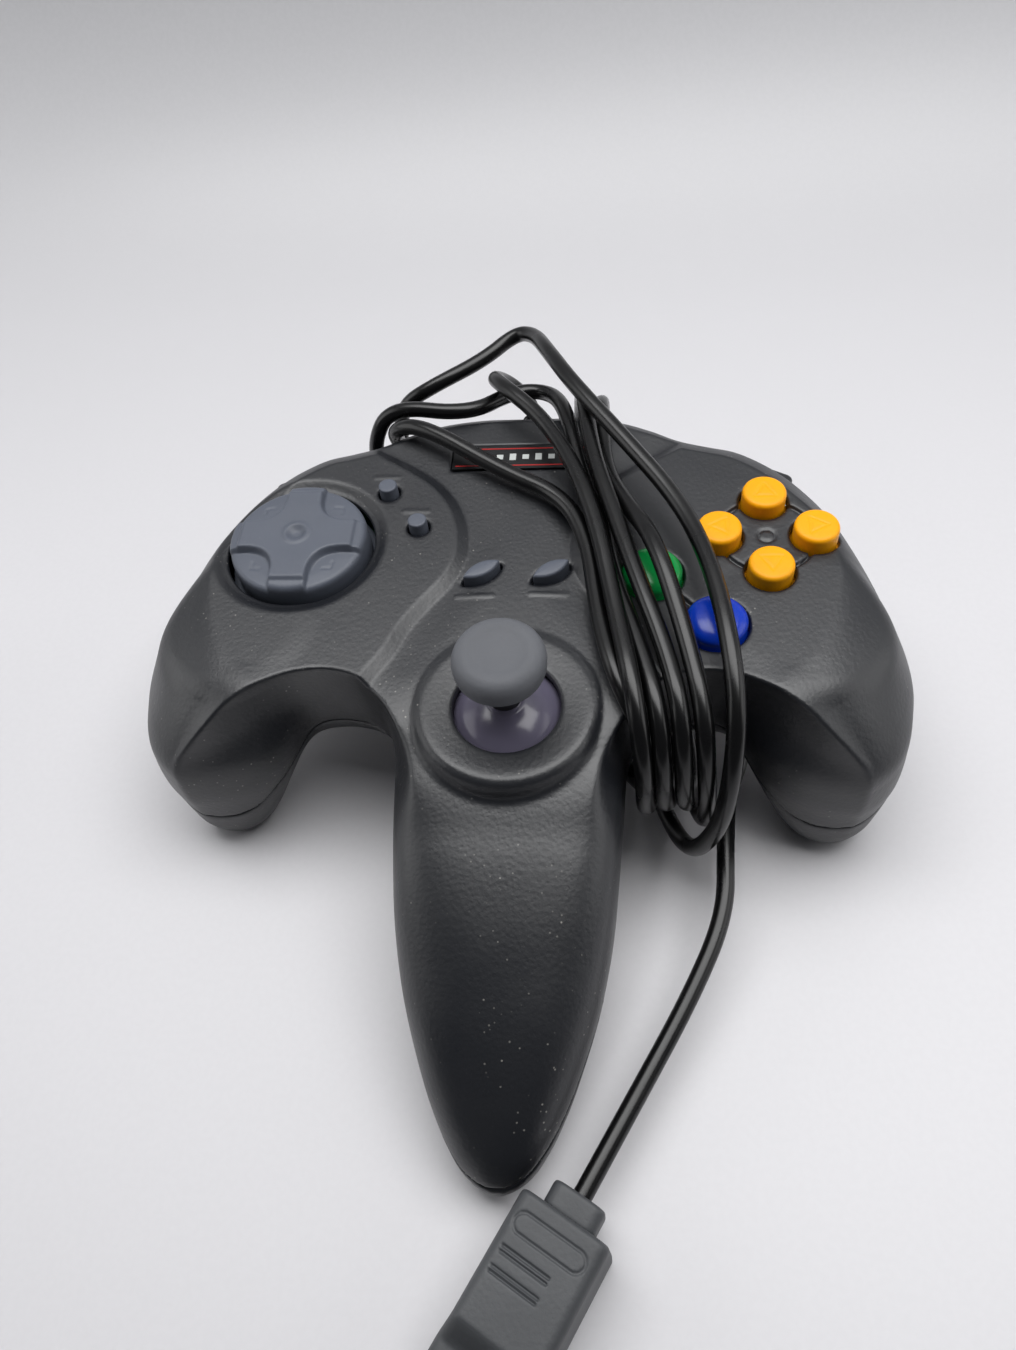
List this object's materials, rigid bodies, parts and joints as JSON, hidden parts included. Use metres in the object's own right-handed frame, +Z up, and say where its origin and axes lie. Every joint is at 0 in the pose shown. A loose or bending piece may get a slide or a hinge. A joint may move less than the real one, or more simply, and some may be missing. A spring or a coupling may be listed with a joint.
{
  "type": "game controller",
  "caption": "Wired three-pronged game controller with thumb stick, tilting direction pad, round coloured buttons, under-trigger, and its lead wound round it to a plug.",
  "frame": {"origin": "on the surface that the feet stand on, in the mirror plane of the case, 2 mm behind the axis of the stick", "axes": "+X to the player's right, +Y away from the player towards the lead's exit, +Z up out of the face"},
  "size_m": [0.1628, 0.236, 0.064],
  "materials": {
    "shell_plastic": "moulded, fine grain",
    "blue_grey_plastic": "satin",
    "yellow_plastic": "satin gloss",
    "green_plastic": "gloss",
    "blue_plastic": "gloss",
    "cap_rubber": "soft matte",
    "skirt_plastic": "gloss",
    "contact_rubber": "silicone rubber",
    "board": "solder mask",
    "inner_plastic": "moulded",
    "white_plastic": "moulded acetal",
    "contact_metal": "plated",
    "screw_steel": "zinc plated",
    "label_film": "printed film",
    "lead_pvc": "satin PVC jacket",
    "plug_plastic": "fine texture"
  },
  "bodies": {
    "case": {"top_shell": "shell_plastic", "bottom_shell": "shell_plastic", "main_board": "board", "left_rubber_sheet": "contact_rubber", "small_rubber_sheet": "contact_rubber", "middle_rubber_sheet": "contact_rubber", "right_rubber_sheet": "contact_rubber", "dome_rubber_sheet": "contact_rubber", "stick_housing": "inner_plastic", "x_sensor": "inner_plastic", "y_sensor": "inner_plastic", "port_connector": "inner_plastic", "strain_relief": "lead_pvc", "label_plate": "label_film", "case_screws": "screw_steel", "plug_body": "plug_plastic", "plug_boss": "plug_plastic", "plug_contacts": "contact_metal", "lead": "lead_pvc"},
    "c_right": {"c_right_button": "yellow_plastic"},
    "c_up": {"c_up_button": "yellow_plastic"},
    "c_left": {"c_left_button": "yellow_plastic"},
    "c_down": {"c_down_button": "yellow_plastic"},
    "green": {"green_button": "green_plastic"},
    "blue": {"blue_button": "blue_plastic"},
    "set": {"set_button": "blue_grey_plastic"},
    "clear": {"clear_button": "blue_grey_plastic"},
    "slow": {"slow_button": "blue_grey_plastic"},
    "start": {"start_button": "blue_grey_plastic"},
    "pad_pivot": {"pad_pivot": "white_plastic"},
    "pad": {"direction_pad": "blue_grey_plastic"},
    "gimbal": {"gimbal_ring": "white_plastic"},
    "stick": {"stick_shaft": "inner_plastic", "stick_skirt": "skirt_plastic", "stick_cap": "cap_rubber"},
    "bail": {"stick_bail": "white_plastic"},
    "left_shoulder": {"left_shoulder_button": "shell_plastic"},
    "right_shoulder": {"right_shoulder_button": "shell_plastic"},
    "trigger": {"under_trigger": "shell_plastic"}
  },
  "joints": [
    {"name": "c_right_press", "type": "slide", "parent": "case", "child": "c_right", "axis": [0, 0, -1], "range_m": [0, 0.0015], "stiffness_N_per_m": 400, "springref_m": -0.0006},
    {"name": "c_up_press", "type": "slide", "parent": "case", "child": "c_up", "axis": [0, 0, -1], "range_m": [0, 0.0015], "stiffness_N_per_m": 400, "springref_m": -0.0006},
    {"name": "c_left_press", "type": "slide", "parent": "case", "child": "c_left", "axis": [0, 0, -1], "range_m": [0, 0.0015], "stiffness_N_per_m": 400, "springref_m": -0.0006},
    {"name": "c_down_press", "type": "slide", "parent": "case", "child": "c_down", "axis": [0, 0, -1], "range_m": [0, 0.0015], "stiffness_N_per_m": 400, "springref_m": -0.0006},
    {"name": "green_press", "type": "slide", "parent": "case", "child": "green", "axis": [0, 0, -1], "range_m": [0, 0.0015], "stiffness_N_per_m": 400, "springref_m": -0.0006},
    {"name": "blue_press", "type": "slide", "parent": "case", "child": "blue", "axis": [0, 0, -1], "range_m": [0, 0.0015], "stiffness_N_per_m": 400, "springref_m": -0.0006},
    {"name": "set_press", "type": "slide", "parent": "case", "child": "set", "axis": [0, 0, -1], "range_m": [0, 0.0015], "stiffness_N_per_m": 400, "springref_m": -0.0006},
    {"name": "clear_press", "type": "slide", "parent": "case", "child": "clear", "axis": [0, 0, -1], "range_m": [0, 0.0015], "stiffness_N_per_m": 400, "springref_m": -0.0006},
    {"name": "slow_press", "type": "slide", "parent": "case", "child": "slow", "axis": [0, 0, -1], "range_m": [0, 0.0015], "stiffness_N_per_m": 400, "springref_m": -0.0006},
    {"name": "start_press", "type": "slide", "parent": "case", "child": "start", "axis": [0, 0, -1], "range_m": [0, 0.0015], "stiffness_N_per_m": 400, "springref_m": -0.0006},
    {"name": "pad_tilt_fore", "type": "hinge", "parent": "case", "child": "pad_pivot", "pos_m": [-0.0487, 0.0397, 0.0392], "axis": [1, 0, 0], "range_deg": [-5, 5], "stiffness_Nm_per_rad": 0.15},
    {"name": "pad_tilt_side", "type": "hinge", "parent": "pad_pivot", "child": "pad", "pos_m": [-0.0487, 0.0397, 0.0392], "axis": [0, 1, 0], "range_deg": [-5, 5], "stiffness_Nm_per_rad": 0.15},
    {"name": "stick_fore", "type": "hinge", "parent": "case", "child": "gimbal", "pos_m": [0, -0.002, 0.033], "axis": [1, 0, 0], "range_deg": [-18, 18], "stiffness_Nm_per_rad": 0.04},
    {"name": "stick_side", "type": "hinge", "parent": "gimbal", "child": "stick", "pos_m": [0, -0.002, 0.033], "axis": [0, 1, 0], "range_deg": [-18, 18], "stiffness_Nm_per_rad": 0.04},
    {"name": "bail_turn", "type": "hinge", "parent": "case", "child": "bail", "pos_m": [0, -0.002, 0.033], "axis": [0, 1, 0], "range_deg": [-18, 18]},
    {"name": "left_shoulder_press", "type": "hinge", "parent": "case", "child": "left_shoulder", "pos_m": [-0.04067, 0.07487, 0.036], "axis": [0, 0, 1], "range_deg": [0, 4], "stiffness_Nm_per_rad": 0.6, "springref_deg": -3.44},
    {"name": "right_shoulder_press", "type": "hinge", "parent": "case", "child": "right_shoulder", "pos_m": [0.04067, 0.07487, 0.036], "axis": [0, 0, -1], "range_deg": [0, 4], "stiffness_Nm_per_rad": 0.6, "springref_deg": -3.44},
    {"name": "trigger_pull", "type": "hinge", "parent": "case", "child": "trigger", "pos_m": [0, 0.013, 0.0158], "axis": [-1, 0, 0], "range_deg": [0, 4.5], "stiffness_Nm_per_rad": 0.6, "springref_deg": -3.44}
  ],
  "couplings": [
    {"joint": "bail_turn", "follows": "stick_side", "ratio": 1}
  ]
}
